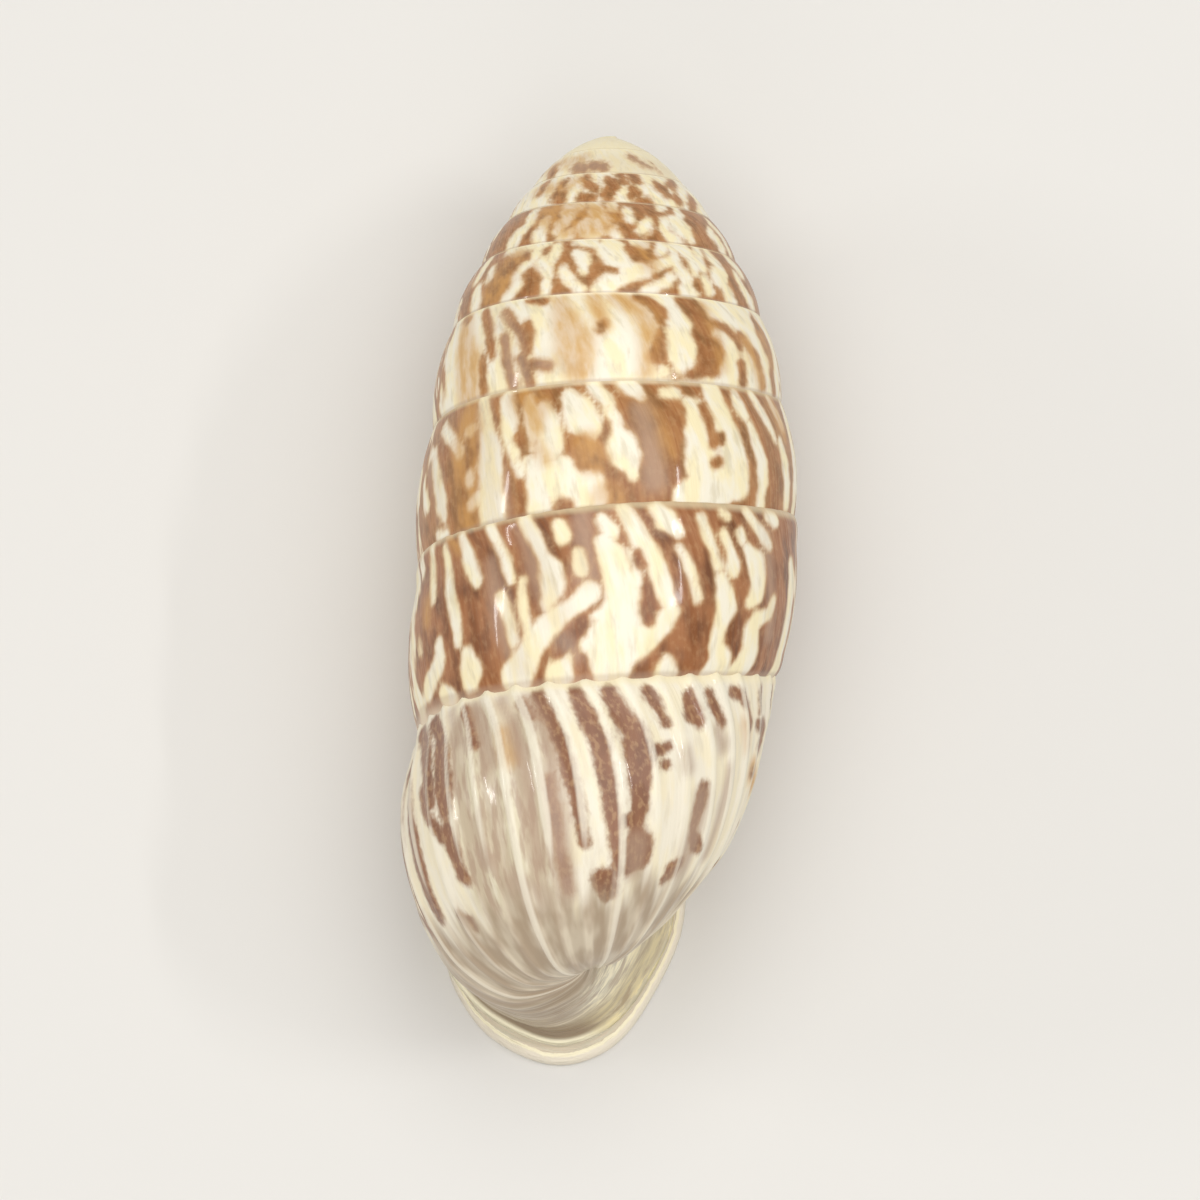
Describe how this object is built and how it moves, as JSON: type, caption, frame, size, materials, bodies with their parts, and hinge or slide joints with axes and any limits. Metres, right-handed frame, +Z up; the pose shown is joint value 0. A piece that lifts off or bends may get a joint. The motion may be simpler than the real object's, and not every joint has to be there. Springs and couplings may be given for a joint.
{
  "type": "cerion reliqua shell",
  "caption": "Land snail shell lying mouth down: tapered whorls mottled brown and cream, a ribbed last whorl and a flared pale lip.",
  "frame": {"origin": "on the ground under the middle of the shell's bounding box", "axes": "+Y towards the apex, +Z up through the shell's back, +X to the right seen from above with the apex ahead"},
  "size_m": [0.0126, 0.0294, 0.0122],
  "materials": {
    "polished_shell": "polished lime shell, mottled brown and cream, with a pale lip"
  },
  "bodies": {
    "root": {"shell": "polished_shell"}
  },
  "joints": []
}
